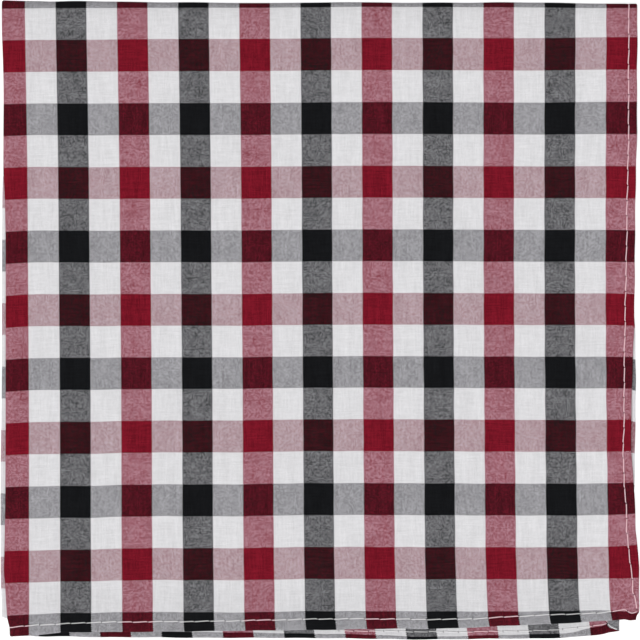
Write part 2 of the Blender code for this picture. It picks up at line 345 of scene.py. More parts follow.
class FoldedCloth:
    """The flat, hemmed square, and where its points lie once it is folded in four."""

    def __init__(self, sizes):
        self.side = sizes.folded_side
        self.thick = sizes.thickness
        self.hem_width = sizes.hem_width
        self.hem_thick = sizes.hem_thickness
        self.stitch = sizes.stitch_length
        self.outer_radius = 2 * PAIR_HALF["field"] + MIDDLE_GAP["field"] / 2
        self.crease = math.pi * PAIR_HALF["field"] / 2
        self.fold = math.pi * (PAIR_HALF["field"] + MIDDLE_GAP["field"] / 2) / 2
        self.flat_over = self.side - self.thick / 2 - PAIR_HALF["field"]
        self.flat_down = self.side - self.thick / 2 - self.outer_radius
        self.half_across = self.flat_over + self.crease
        self.half_down = self.flat_down + self.fold

    def over(self, across):
        """How far over its layer a point lies: 0 at the left crease, 1 at the right hem."""
        return np.maximum(0.0, np.abs(across) - self.crease) / self.flat_over

    def down(self, down):
        """How far down its layer a point lies: 0 at the top fold, 1 at the bottom hem."""
        return np.maximum(0.0, np.abs(down) - self.fold) / self.flat_down

    def outlines(self, across, down):
        """How far the left, right, top and bottom edges lie outside the even square."""
        over = self.over(across)
        share = self.down(down)
        upper, lower = (along(LEFT_CREASES, name, share) for name in ("upper", "lower"))
        left = np.where(down > 0, upper, lower)
        right = by_layer(across, down, *(along(RIGHT_HEMS, name, share) for name in LAYERS))
        bottom = by_layer(across, down, *(along(BOTTOM_HEMS, name, over) for name in LAYERS))
        top = along(TOP_FOLD, "outward", over)
        return left * MM, right * MM, top * MM, bottom * MM

    def spacing(self, over, share):
        """Half the distance between a pair's layers, and the gap between the two pairs."""
        from_hem = np.minimum((1 - over) * self.flat_over, (1 - share) * self.flat_down)
        lifted = smooth_step(1 - from_hem / HEM_REACH)
        eased = smooth_step(over * self.flat_over / CREASE_REACH)
        pair = between(PAIR_HALF["crease"], PAIR_HALF["field"], eased)
        gap = between(MIDDLE_GAP["field"], MIDDLE_GAP["hem"], lifted)
        return between(pair, PAIR_HALF["hem"], lifted), gap

    def swelling(self, turn, down, over, share):
        """How far a point is raised by the slow waves of its own and the lower layers."""
        rises = {}
        for layer, (rise, waves_over, waves_down, start) in SWELLS.items():
            over_wave = np.sin(2 * math.pi * waves_over * over + start)
            down_wave = np.cos(2 * math.pi * waves_down * share + start / 2)
            rises[layer] = rise * MM * (1 + over_wave * down_wave) / 2
        to_right = (1 + np.sin(turn)) / 2
        upper = rises["third"] + rises["second"] + rises["first"] * to_right
        lower = rises["third"] * (1 - to_right)
        return np.where(down > 0, upper, lower) * smooth_step(share / SWELL_START)

    def middle(self, across, down):
        """Where the middle of the cloth's thickness lies, once folded."""
        over = self.over(across)
        share = self.down(down)
        pair, gap = self.spacing(over, share)
        turn = np.clip(across / self.crease, -1, 1) * math.pi / 2
        bend = np.clip(np.abs(down) / self.fold, 0, 1) * math.pi / 2
        reach = self.outer_radius - PAIR_HALF["field"] * (1 - np.sin(turn))
        rise = pair + gap / 2 + pair * np.sin(turn)
        x = PAIR_HALF["field"] * (1 - np.cos(turn)) + over * self.flat_over
        y = reach * np.cos(bend) - share * self.flat_down
        z = 2 * pair + gap / 2 + np.copysign(rise * np.sin(bend), down)
        z = z * (1 - FOLD_PRESSED * np.exp((y - reach) / FOLD_PRESSED_REACH))
        left, right, top, bottom = self.outlines(across, down)
        turns_down = 2 * math.pi * EDGE_RIPPLES * share + RIPPLE_DRIFT_OVER * over
        turns_over = 2 * math.pi * EDGE_RIPPLES * over + RIPPLE_DRIFT_DOWN * share
        x = x + over * (right + EDGE_RIPPLE * np.sin(turns_down)) - (1 - over) * left
        y = y + (1 - share) * top - share * (bottom + EDGE_RIPPLE * np.sin(turns_over))
        off_table = THREAD_LIFT * smooth_step(1 - self.to_edge(across, down) / THREAD_LIFT_REACH)
        z = z + self.swelling(turn, down, over, share) + off_table
        x = x - self.side / 2 + self.thick / 2
        y = y + self.side / 2 - self.thick / 2 - self.outer_radius
        return np.stack((x, y, z + self.thick / 2), axis=-1)

    def facing(self, across, down):
        """The unit normal of the folded cloth on its back, the side its hems are turned to."""
        step = NORMAL_STEP
        run_across = self.middle(across + step, down) - self.middle(across - step, down)
        run_down = self.middle(across, down + step) - self.middle(across, down - step)
        return direction(np.cross(run_across, run_down))

    def to_edge(self, across, down):
        """From a point of the flat cloth to its nearest hemmed edge."""
        return np.minimum(self.half_across - np.abs(across), self.half_down - np.abs(down))

    def off_side_seam(self, across, down):
        """How far in from the stitches along the right hems a point lies."""
        share = self.down(down)
        first = along(SIDE_SEAMS, "first", share)
        others = along(SIDE_SEAMS, "others", share)
        inset = by_layer(across, down, first, others, others, others) * MM
        return self.half_across - np.abs(across) - inset

    def off_foot_seam(self, across, down):
        """How far in from the stitches along the bottom hems a point lies."""
        over = self.over(across)
        first = along(FOOT_SEAMS, "first", over)
        second = along(FOOT_SEAMS, "second", over)
        lower = along(FOOT_SEAMS, "lower", over)
        inset = by_layer(across, down, first, second, lower, lower) * MM
        return self.half_down - np.abs(down) - inset

    def surfaces(self, across, down):
        """How far the cloth's face and its back lie from its middle, towards the back."""
        to_edge = self.to_edge(across, down)
        from_crease = np.minimum(np.abs(across) - self.crease, np.abs(down) - self.fold)
        turned_in = smooth_step((self.hem_width + HEM_STEP - to_edge) / HEM_STEP)
        pressed = between(HEM_PRESSED, 1, smooth_step(from_crease / HEM_PRESSED_REACH))
        face = np.full_like(to_edge, -self.thick / 2)
        back = self.thick / 2 + (self.hem_thick - self.thick) * turned_in * pressed
        off_seam = np.minimum(
            np.abs(self.off_side_seam(across, down)), np.abs(self.off_foot_seam(across, down))
        )
        trough = SEAM_TROUGH * np.exp(-((off_seam / SEAM_TROUGH_WIDTH) ** 2))
        face = face + trough / 2
        back = back - trough / 2
        round_edge = (back - face) / 2
        inside = np.clip(1 - to_edge / round_edge, 0, 1)
        swell = np.maximum(np.sqrt(1 - inside**2), EDGE_MIN_SHARE)
        inner = smooth_step(0.5 - across / (2 * self.crease))
        to_fold = np.maximum(np.abs(down) - self.fold, 0)
        nipped = 1 - INNER_FOLD_NIP * inner * np.exp(-to_fold / FOLD_PRESSED_REACH)
        centre = (back + face) / 2 * nipped
        reach = round_edge * swell * nipped
        return centre - reach, centre + reach

    def checks(self, across, down):
        """How many checks over and down from the first whole one a point of the cloth lies."""
        return np.stack((self.columns(across, down), self.rows(across, down)), axis=-1)

    def columns(self, across, down):
        """How many checks over from the first whole one a point of the cloth lies."""
        over = self.over(across)
        share = self.down(down)
        left, right, _, _ = self.outlines(np.abs(across), np.abs(down))
        first = along(FIRST_COLUMN, "inset", share) * MM
        last = along(LAST_COLUMN, "inset", share) * MM
        check = (self.side - first - last) / WHOLE_CHECKS
        round_crease = self.crease / check
        upper_start = (PAIR_HALF["field"] + self.thick / 2 - left - first) / check
        upper_crease = upper_start - round_crease
        first_hem = (self.side + right - first) / check
        lower_crease = along(OTHER_COLUMNS, "lower_crease", share)
        crease = np.where(down > 0, upper_crease, lower_crease)
        other_hems = (along(OTHER_COLUMNS, name, share) for name in LAYERS[1:])
        hem = by_layer(across, down, first_hem, *other_hems)
        start = crease + np.clip(across / self.crease, -1, 1) * round_crease
        left_stray = along(FIRST_COLUMN, "stray", share) * MM / check
        right_stray = along(LAST_COLUMN, "stray", share) * MM / check
        stray = left_stray * along(COLUMN_STRAY, "left", over)
        stray = stray + right_stray * along(COLUMN_STRAY, "right", over)
        stray = stray * np.sign(across) * np.where(down > 0, 1.0, LOWER_STRAY)
        return between(start, hem, over) - stray

    def rows(self, across, down):
        """How many checks down from the first whole one a point of the cloth lies."""
        over = self.over(across)
        _, _, top, bottom = self.outlines(across, np.abs(down))
        first = along(ROWS, "first", over) * MM
        last = along(ROWS, "last", over) * MM
        check = (self.side - first - last) / WHOLE_CHECKS
        slip = np.where(across > 0, 0.0, SECOND_ROWS_SLIP * over)
        share = self.down(down)
        stray = sum(
            along(ROWS, name, over) * along(ROW_STRAY, name, share)
            for name in ROW_STRAY
            if name != "down"
        )
        stray = stray * MM / check
        upper_start = (self.outer_radius + self.thick / 2 - top - first) / check - slip
        upper_hem = (self.side + bottom - first) / check - slip
        third_hem = along(OTHER_ROWS, "third", over)
        lower_hem = np.where(across > 0, FOURTH_ROWS_END, third_hem)
        past_fold = (np.abs(down) - self.fold) / self.flat_down
        upper = between(upper_start, upper_hem, past_fold) + stray
        lower = between(LOWER_ROWS_START, lower_hem, past_fold)
        half_way = (upper_start + LOWER_ROWS_START) / 2
        in_fold = half_way + (upper_start - LOWER_ROWS_START) / 2 * down / self.fold
        return np.where(np.abs(down) < self.fold, in_fold, np.where(down > 0, upper, lower))


def grid_lines(crease, half):
    """The sheet's grid lines in one direction, close together at the crease and the hems."""
    round_crease = [crease * n / CREASE_STEPS for n in range(CREASE_STEPS)]
    over_hem = [half - line * MM for line in HEM_LINES]

    def one_side(step):
        width = over_hem[0] - crease
        steps = round(width / step)
        over_field = [crease + width * n / steps for n in range(steps)]
        return round_crease + over_field + over_hem

    hidden = [-line for line in reversed(one_side(HIDDEN_STEP)[1:])]
    return np.array(hidden + one_side(SHOWN_STEP))


def read_points(mesh):
    """A mesh's points as rows of x, y and z."""
    points = np.empty(len(mesh.vertices) * 3, np.float32)
    mesh.vertices.foreach_get("co", points)
    return points.reshape(-1, 3).astype(float)


def write_points(mesh, points):
    """Moves a mesh's points."""
    mesh.vertices.foreach_set("co", points.astype(np.float32).ravel())
    mesh.update()


def write_map(mesh, name, pairs):
    """Adds a UV map with one pair of values for each face corner."""
    layer = mesh.uv_layers.new(name=name)
    layer.data.foreach_set("uv", pairs.astype(np.float32).ravel())


def read_corners(mesh):
    """The number of the point at each corner of a mesh's faces."""
    corners = np.empty(len(mesh.loops), np.int32)
    mesh.loops.foreach_get("vertex_index", corners)
    return corners


def line_numbers(places, count):
    """Which of a new grid's lines each point lies on, from its place between -1 and 1."""
    return np.rint((places + 1) / 2 * (count - 1)).astype(int)


def flat_slab(columns, rows):
    """A closed slab with the given numbers of grid lines, one unit thick."""
    deselect_all()
    bpy.ops.mesh.primitive_grid_add(
        x_subdivisions=columns - 1, y_subdivisions=rows - 1, size=2, calc_uvs=False
    )
    slab = bpy.context.active_object
    bpy.ops.object.mode_set(mode="EDIT")
    bpy.ops.mesh.select_all(action="SELECT")
    bpy.ops.mesh.extrude_region_move(TRANSFORM_OT_translate={"value": (0, 0, 1)})
    bpy.ops.mesh.select_all(action="SELECT")
    bpy.ops.mesh.normals_make_consistent(inside=False)
    bpy.ops.object.mode_set(mode="OBJECT")
    return slab


def make_cloth(sizes):
    """The hemmed sheet as one closed mesh, folded in four, with its maps."""
    cloth = FoldedCloth(sizes)
    lines_across = grid_lines(cloth.crease, cloth.half_across)
    lines_down = grid_lines(cloth.fold, cloth.half_down)
    sheet = flat_slab(len(lines_across), len(lines_down))
    sheet.name = sheet.data.name = CLOTH
    mesh = sheet.data
    points = read_points(mesh)
    across = lines_across[line_numbers(points[:, 0], len(lines_across))]
    down = lines_down[line_numbers(points[:, 1], len(lines_down))]
    on_back = points[:, 2] > 0.5
    face, back = cloth.surfaces(across, down)
    offset = np.where(on_back, back, face)[:, None]
    write_points(mesh, cloth.middle(across, down) + cloth.facing(across, down) * offset)

    corners = read_corners(mesh)
    faces = corners.reshape(-1, 4)
    back_faces = on_back[faces].all(axis=1)

    def unturned(places, half):
        """Each corner's place on the cloth before its hems were turned in."""
        to_middle = np.abs(places[faces]).mean(axis=1)
        in_hem = back_faces & (to_middle > half - (cloth.hem_width + HEM_STEP))
        turned = places[corners]
        return np.where(np.repeat(in_hem, 4), np.sign(turned) * (2 * half) - turned, turned)

    cut_across = unturned(across, cloth.half_across)
    cut_down = unturned(down, cloth.half_down)
    write_map(mesh, "checks", cloth.checks(cut_across, cut_down))
    write_map(mesh, "sides", np.repeat(on_back[corners, None], 2, axis=1))
    for name, travel, off in (
        ("side_seam", down, cloth.off_side_seam(across, down)),
        ("foot_seam", across, cloth.off_foot_seam(across, down)),
    ):
        seam = np.stack((travel / cloth.stitch, off / MM), axis=-1)
        write_map(mesh, name, seam[corners])
    select_only(sheet)
    bpy.ops.object.shade_smooth_by_angle(angle=SMOOTH_ANGLE)
    return sheet


THREAD_SIDES = 8
RINGS_PER_STITCH = 9
THREAD_FLATTEN = 0.75
THREAD_PROUD = 0.55  # how far the thread's middle stands above the cloth, in thread radii
NEEDLE_DIP = 1.5  # how deep it dips at a needle hole, in thread radii
NEEDLE_DIP_WIDTH = 0.26 * MM
STITCH_SLANT = 0.15 * MM  # how far a stitch's two ends lie apart across the seam
HOLE_SLACK = 0.01  # of a stitch, so that what lies right at a hole belongs to the next stitch
MERGE_REACH = 0.001 * MM


def ring_places(first, last, step):
    """Even places from first to last, one of them at each needle hole."""
    return np.arange(math.ceil(first / step), math.floor(last / step) + 1) * step


def slanted(cloth, travel):
    """How far a stitch lies off the line of its seam, with each one a little aslant."""
    stitches = travel / cloth.stitch
    return STITCH_SLANT * (stitches - np.floor(stitches + HOLE_SLACK) - 0.5)


def seam_paths(cloth):
    """The flat cloth's points along each seam."""
    ring_step = cloth.stitch / RINGS_PER_STITCH
    paths = []
    for side, lower_end, upper_end in (
        (1, 1.0, FIRST_SIDE_END),
        (-1, THIRD_SIDE_END, SECOND_SIDE_END),
    ):
        first = -(cloth.fold + cloth.flat_down * lower_end)
        last = cloth.fold + cloth.flat_down * upper_end
        down = ring_places(first, last, ring_step)
        edge = np.full_like(down, side * cloth.half_across)
        inset = slanted(cloth, down) - cloth.off_side_seam(edge, down)
        paths.append((edge - side * inset, down, down))
    for end, left_end in ((1, 1.0), (-1, THIRD_FOOT_END)):
        first = -(cloth.crease + cloth.flat_over * left_end)
        across = ring_places(first, cloth.half_across, ring_step)
        edge = np.full_like(across, end * cloth.half_down)
        inset = slanted(cloth, across) - cloth.off_foot_seam(across, edge)
        paths.append((across, edge - end * inset, across))
    return paths


def make_thread_run(cloth, width, path, on_back):
    """One run of thread on one side of the cloth, dipping into it at each needle hole."""
    across, down, travel = path
    radius = width / 2
    normal = cloth.facing(across, down)
    face, back = cloth.surfaces(across, down)
    stitches = travel / cloth.stitch
    to_needle = np.abs(stitches - np.rint(stitches)) * cloth.stitch
    dip = NEEDLE_DIP * np.exp(-((to_needle / NEEDLE_DIP_WIDTH) ** 2))
    height = radius * (THREAD_PROUD - dip)
    reach = back + height if on_back else face - height
    centres = cloth.middle(across, down) + normal * reach[:, None]
    heading = direction(np.gradient(centres, axis=0))
    sideways = direction(np.cross(normal, heading))
    upward = np.cross(heading, sideways)

    rings = len(centres)
    deselect_all()
    bpy.ops.mesh.primitive_grid_add(
        x_subdivisions=rings - 1, y_subdivisions=THREAD_SIDES, size=2, calc_uvs=True
    )
    run = bpy.context.active_object
    points = read_points(run.data)
    ring = line_numbers(points[:, 0], rings)
    angle = (points[:, 1] + 1) * math.pi
    taper = np.where((ring == 0) | (ring == rings - 1), 0.0, 1.0)
    reach_side = (radius * np.cos(angle) * taper)[:, None]
    reach_up = (radius * THREAD_FLATTEN * np.sin(angle) * taper)[:, None]
    write_points(run.data, centres[ring] + sideways[ring] * reach_side + upward[ring] * reach_up)
    write_map(run.data, "checks", cloth.checks(across, down)[ring[read_corners(run.data)]])
    bpy.ops.object.mode_set(mode="EDIT")
    bpy.ops.mesh.select_all(action="SELECT")
    bpy.ops.mesh.remove_doubles(threshold=MERGE_REACH)
    bpy.ops.mesh.normals_make_consistent(inside=False)
    bpy.ops.object.mode_set(mode="OBJECT")
    return run


def make_stitching(sizes):
    """All the sewing thread, on both sides of the cloth, as one piece."""
    cloth = FoldedCloth(sizes)
    runs = [
        make_thread_run(cloth, sizes.thread_width, path, on_back)
        for path in seam_paths(cloth)
        for on_back in (False, True)
    ]
    select_only(*runs)
    bpy.ops.object.join()
    thread = bpy.context.active_object
    thread.name = thread.data.name = STITCHING
    thread.data.uv_layers[0].name = "run"
    bpy.ops.object.shade_smooth()
    return thread


class Value:
    """A shader value that takes part in Python sums by adding Math nodes."""

    def __init__(self, finish, socket):
        self.finish = finish
        self.socket = socket

    def __add__(self, other):
        return self.finish.maths("ADD", self, other)

    def __radd__(self, other):
        return self.finish.maths("ADD", other, self)

    def __sub__(self, other):
        return self.finish.maths("SUBTRACT", self, other)

    def __rsub__(self, other):
        return self.finish.maths("SUBTRACT", other, self)

    def __mul__(self, other):
        return self.finish.maths("MULTIPLY", self, other)

    def __rmul__(self, other):
        return self.finish.maths("MULTIPLY", other, self)


class Finish:
    """A material under construction."""

    def __init__(self, name, **constants):
        self.material = bpy.data.materials.new(name)
        self.material.use_nodes = True
        self.tree = self.material.node_tree
        self.shader = self.tree.nodes["Principled BSDF"]
        for socket, value in constants.items():
            self.shader.inputs[socket.replace("_", " ")].default_value = value

    def node(self, kind, settings, values, output=0):
        """Adds a node, sets it, then feeds its sockets with values or links."""
        made = self.tree.nodes.new(kind)
        for name, setting in settings.items():
            setattr(made, name, setting)
        for key, value in values.items():
            self.feed(made.inputs[key], value)
        return Value(self, made.outputs[output])

    def feed(self, socket, value):
        """Gives a socket a link or a constant."""
        if isinstance(value, Value):
            self.tree.links.new(value.socket, socket)
        else:
            socket.default_value = value

    def surface(self, socket, value):
        """Feeds one of the shader's own sockets."""
        self.feed(self.shader.inputs[socket], value)

    def maths(self, operation, *values):
        """A number worked out from others."""
        return self.node("ShaderNodeMath", {"operation": operation}, dict(enumerate(values)))

    def mixed(self, factor, first, second, blend="MIX"):
        """A colour between two."""
        settings = {"data_type": "RGBA", "blend_type": blend}
        return self.node("ShaderNodeMix", settings, {0: factor, 6: first, 7: second}, output=2)

    def tinted(self, first, second):
        """One colour laid over another, as a product."""
        return self.mixed(1.0, first, second, blend="MULTIPLY")

    def striped(self, on_red, on_black, plain, red_tone, black_tone):
        """A plain colour with red and black stripes in it."""
        return self.mixed(on_black, self.mixed(on_red, plain, red_tone), black_tone)

    def fitted(self, value, low, high, to_low=0.0, to_high=1.0):
        """A value eased from one range to another."""
        ranges = {"From Min": low, "From Max": high, "To Min": to_low, "To Max": to_high}
        settings = {"interpolation_type": "SMOOTHSTEP"}
        return self.node("ShaderNodeMapRange", settings, {"Value": value, **ranges})

    def cloth_map(self, name):
        """The two values of one of the piece's own maps."""
        place = self.node("ShaderNodeUVMap", {"uv_map": name}, {})
        split = self.node("ShaderNodeSeparateXYZ", {}, {0: place})
        return split, Value(self, split.socket.node.outputs[1])

    def noise(self, x, y):
        """Smooth noise round 0.5 at a place, with features about 1 across."""
        place = self.node("ShaderNodeCombineXYZ", {}, {0: x, 1: y})
        values = {"Vector": place, "Scale": 1.0, "Detail": 1.0}
        return self.node("ShaderNodeTexNoise", {"noise_dimensions": "2D"}, values)

    def relief(self, height, strength, depth):
        """Fine relief, too low for the mesh."""
        values = {"Strength": strength, "Distance": depth, "Height": height}
        self.surface("Normal", self.node("ShaderNodeBump", {}, values))


# The check's repeat, in checks: white, one colour, white, the other colour.
REPEAT = 4
STRIPE_MIDDLES = (1.5, 3.5)
WARPS_PER_CHECK = 28
WEFTS_PER_CHECK = 30

# How much of the cloth's face is warp, and its back weft. Then how yarns are tinted where they
# cross one of another colour, partly by its colour showing through and partly with painted shade
# and painted light bounced from it; the thread's painted light, pinker beside red warps and darker
# beside black ones; and how the cells are where red and black cross.
WARP_SHARE = 0.625
# Painted shade and painted bounced light, with some show-through: a yarn's tint where it crosses
# red or black.
WARP_OVER_RED = (0.815, 0.696, 0.734, 1)
WARP_OVER_BLACK = (0.687, 0.684, 0.704, 1)
WEFT_OVER_RED = (0.868, 0.523, 0.610, 1)
WEFT_OVER_BLACK = (0.490, 0.491, 0.503, 1)
# Painted light bounced from the cloth onto the thread: pinker beside red warps, darker beside black
# ones.
THREAD_PAINTED_RED_LIGHT = (1.10, 0.76, 0.81, 1)
THREAD_PAINTED_SHADE_BY_BLACK = (0.77, 0.78, 0.77, 1)
DYES_CROSSED = (0.955, 1.50, 1.325, 1)
UNTINTED = (1, 1, 1, 1)

# How the weave varies. Slubs, patches, streaks and grain are noise between -0.5 and 0.5.
YARN_APART = 3.7  # from one yarn to the next in the noise, so that each has slubs of its own
SLUBS_PER_YARN = 0.06
STREAKS = {"over": 4.0, "down": 0.6}  # for each check
EDGE_WANDER = 0.012  # of a check, by which a column's edge goes in and out at each weft
# What moves the share of warp that shows.
WARP_MOVES = {"slubs": 0.17, "grain": 0.36, "patches": 0.12, "crossing": 0.12}
MOVES_ON_ALL = 0.84  # how much of that there is on every column, and what coloured ones add
MOVES_ON_RED = 0.36
MOVES_ON_BLACK = 0.43
# What makes the yarns' shade darker or lighter.
SHADE_MOVES = {"slubs": 0.16, "grain": 0.06, "streaks": 0.10}
DYED_MOVES = 2.5  # how much more the shade moves where both yarns are dyed
# Painted shade between the yarns: each is drawn darker towards its edges, where its crown is low.
CROWN_REACH = 0.5  # how far up its crown a yarn has its full shade
YARN_EDGE_PAINTED_SHADE = 0.95
# Painted shade in the needle holes: how much darker they are drawn.
PIT_PAINTED_SHADE = 0.5
HEIGHTS = {"crown": 0.6, "grain": 0.3, "pits": 2.0}
WEAVE_DEPTH = 0.06 * MM

# A needle hole's inner and outer radius, and how far holes are apart, in millimetres.
PIT_INNER = 0.12
PIT_OUTER = 0.34
PITS_APART = 3.7

# The sewing thread's twists and fuzz, for a whole run of it and once round it.
TWISTS = {"along": 900.0, "round": 2.0}
FUZZ = {"along": 1500.0, "round": 6.0}
PLY_RANGE = (-1.0, 1.6)  # twist and fuzz together, where a ply is darkest and palest
# Painted shade in the grooves between the twisted plies: how dark the plies are drawn there.
PLY_GROOVE_PAINTED_SHADE = 0.80
PLY_DEPTH = 0.04 * MM

TABLE_GLOW = 0.82
TABLE_SHADE = 0.97
TABLE_MOTTLE = {"Scale": 6.0, "Detail": 4.0}


def opaque(tone, share=1.0):
    """A colour as a socket takes it, or a share of it."""
    return (*(share * part for part in tone), 1)


def stripes(finish, place):
    """1 on each of the repeat's two coloured stripes and 0 elsewhere, in rows or in columns."""
    part = finish.maths("FRACT", place * (1 / REPEAT))
    return [finish.maths("COMPARE", part, at / REPEAT, 0.5 / REPEAT) for at in STRIPE_MIDDLES]


def yarns(finish, colours, over, down):
    """Warp's and weft's colours at a place, and its coloured stripes. Each yarn is tinted by the
    other, partly by show-through and partly with painted shade and painted bounced light.
    """
    black_column, red_column = stripes(finish, over)
    red_row, black_row = stripes(finish, down)
    tones = [opaque(tone) for tone in (colours.white, colours.red, colours.black)]
    all_red = red_column * red_row
    all_black = black_column * black_row
    # Each yarn's tint from the other: partly show-through, partly painted shade and painted bounced
    # light.
    warp_tint_and_painted_light = finish.striped(
        red_row - all_red, black_row - all_black, UNTINTED, WARP_OVER_RED, WARP_OVER_BLACK
    )
    weft_tint_and_painted_light = finish.striped(
        red_column - all_red, black_column - all_black, UNTINTED, WEFT_OVER_RED, WEFT_OVER_BLACK
    )
    warp = finish.tinted(finish.striped(red_column, black_column, *tones), warp_tint_and_painted_light)
    weft = finish.tinted(finish.striped(red_row, black_row, *tones), weft_tint_and_painted_light)
    return warp, weft, (red_column, black_column, red_row, black_row)


def gingham(colours):
    """Plain-woven cotton with red, black and white checks, drawn yarn by yarn."""
    finish = Finish("gingham_cotton", Roughness=0.92, Specular_IOR_Level=0.04)
    over, down = finish.cloth_map("checks")
    warp_place = over * WARPS_PER_CHECK
    weft_place = down * WEFTS_PER_CHECK
    warp_number = finish.maths("FLOOR", warp_place)
    weft_number = finish.maths("FLOOR", weft_place)

    warp_slub = finish.noise(warp_number * YARN_APART, weft_place * SLUBS_PER_YARN) - 0.5
    weft_slub = finish.noise(warp_place * SLUBS_PER_YARN, weft_number * YARN_APART) - 0.5
    each_crossing = finish.node("ShaderNodeCombineXYZ", {}, {0: warp_number, 1: weft_number})
    grain = finish.node(
        "ShaderNodeTexWhiteNoise", {"noise_dimensions": "2D"}, {"Vector": each_crossing}
    )
    grain = grain - 0.5
    patches = finish.noise(warp_place * SLUBS_PER_YARN, weft_place * SLUBS_PER_YARN) - 0.5
    weft_wave = finish.maths("SINE", weft_place * math.pi)
    crossing = finish.maths("SINE", warp_place * math.pi) * weft_wave
    warp, weft, (red_column, black_column, red_row, black_row) = yarns(
        finish, colours, over + EDGE_WANDER * weft_wave, down
    )
    uneven = MOVES_ON_ALL + MOVES_ON_RED * red_column + MOVES_ON_BLACK * black_column
    on_back, _ = finish.cloth_map("sides")
    warp_share = WARP_SHARE - on_back * (2 * WARP_SHARE - 1)
    moved = (warp_slub - weft_slub) * WARP_MOVES["slubs"] + grain * WARP_MOVES["grain"]
    level = (moved + patches * WARP_MOVES["patches"]) * uneven + warp_share
    warp_up = finish.maths("MULTIPLY_ADD", crossing, WARP_MOVES["crossing"], level)
    woven = finish.mixed(warp_up, weft, warp)
    crossed = red_column * black_row + black_column * red_row
    woven = finish.tinted(woven, finish.mixed(crossed, UNTINTED, DYES_CROSSED))

    streaks = finish.noise(over * STREAKS["over"], down * STREAKS["down"]) - 0.5
    dyed = (red_column + black_column) * (red_row + black_row)
    moved = (warp_slub + weft_slub) * SHADE_MOVES["slubs"] + grain * SHADE_MOVES["grain"]
    moved = moved + streaks * SHADE_MOVES["streaks"]
    yarn_shade = 1.0 + moved * (1.0 + DYED_MOVES * dyed)
    crown = finish.maths("ABSOLUTE", crossing)
    # Painted shade in the gaps between the yarns, on top of their own uneven tone.
    shade = yarn_shade * finish.fitted(crown, 0.0, CROWN_REACH, YARN_EDGE_PAINTED_SHADE, 1.0)
    # Painted shade: the needle holes drawn darker.
    pits = needle_pits(finish)
    shade = shade * (1 - pits * PIT_PAINTED_SHADE)
    shade_colour = finish.node("ShaderNodeCombineColor", {}, {0: shade, 1: shade, 2: shade})
    finish.surface("Base Color", finish.tinted(woven, shade_colour))

    height = crown * HEIGHTS["crown"] + grain * HEIGHTS["grain"] - pits * HEIGHTS["pits"]
    finish.relief(height, strength=0.5, depth=WEAVE_DEPTH)
    return finish.material


def needle_pits(finish):
    """1 in each needle hole along the seams, 0 elsewhere."""
    holes = []
    for seam in ("side_seam", "foot_seam"):
        travel, off = finish.cloth_map(seam)
        to_needle = finish.maths("FRACT", travel + 0.5) - 0.5
        along_seam = to_needle * PITS_APART
        apart = finish.maths("SQRT", along_seam * along_seam + off * off)
        holes.append(finish.fitted(apart, PIT_INNER, PIT_OUTER, 1.0, 0.0))
    return finish.maths("MAXIMUM", *holes)


def sewing_thread(colours):
    """Two-ply cotton thread, with painted light bounced from the cloth: pinker beside red warps,
    darker beside black ones.
    """
    finish = Finish("sewing_thread", Roughness=0.7, Specular_IOR_Level=0.15)
    run, around = finish.cloth_map("run")
    over, _ = finish.cloth_map("checks")
    black_column, red_column = stripes(finish, over)
    # Painted bounce light: the thread pinker over red columns and greyer over black ones.
    painted_bounce_light = finish.striped(red_column, black_column, UNTINTED, THREAD_PAINTED_RED_LIGHT, THREAD_PAINTED_SHADE_BY_BLACK)
    turns = run * TWISTS["along"] + around * TWISTS["round"]
    twist = finish.maths("SINE", turns * (2 * math.pi))
    fuzz = finish.noise(run * FUZZ["along"], around * FUZZ["round"])
    # Painted shade along the twist's grooves, mixed with random fuzz.
    shade = finish.fitted(twist + fuzz, *PLY_RANGE)
    plies = finish.mixed(shade, opaque(colours.thread, PLY_GROOVE_PAINTED_SHADE), opaque(colours.thread))
    finish.surface("Base Color", finish.tinted(plies, painted_bounce_light))
    finish.relief(twist, strength=0.4, depth=PLY_DEPTH)
    return finish.material


def pale_table(colours):
    """Smooth pale board, lit from behind as a light table is, so that it takes hardly a shadow."""
    finish = Finish(
        "pale_table", Roughness=0.8, Specular_IOR_Level=0.1, Emission_Strength=TABLE_GLOW
    )
    finish.surface("Emission Color", (1, 1, 1, 1))
    place = finish.node("ShaderNodeTexCoord", {}, {}, output=3)
    mottle = finish.node("ShaderNodeTexNoise", {}, {"Vector": place, **TABLE_MOTTLE})
    shaded = opaque(colours.table, TABLE_SHADE)
    finish.surface("Base Color", finish.mixed(mottle, shaded, opaque(colours.table)))
    return finish.material


def size(name, description, default, unit="LENGTH"):
    """A size that a user would change."""
    return bpy.props.FloatProperty(
        name=name, description=description, default=default, min=0, unit=unit
    )


def colour(name, description, default):
    """A colour that a user would change."""
    return bpy.props.FloatVectorProperty(
        name=name, description=description, default=default, subtype="COLOR", size=3, min=0, max=1
    )


class ClothSizes(bpy.types.PropertyGroup):
    """Sizes of the cloth and its seams."""

    folded_side: size("Folded side", "Side of the even folded square", 152.4 * MM)
    thickness: size("Thickness", "Thickness of the cotton", 0.30 * MM)
    hem_width: size("Hem width", "From a hem's edge to its turned-in inner edge", 2.80 * MM)
    hem_thickness: size("Hem thickness", "Thickness of the three layers of a hem", 0.72 * MM)
    stitch_length: size("Stitch length", "From one needle hole to the next", 3.74 * MM)
    thread_width: size("Thread width", "Width of the sewing thread", 0.255 * MM)
    cut_side: size("Cut side", "Side of the flat square before its hems are turned", 316 * MM)


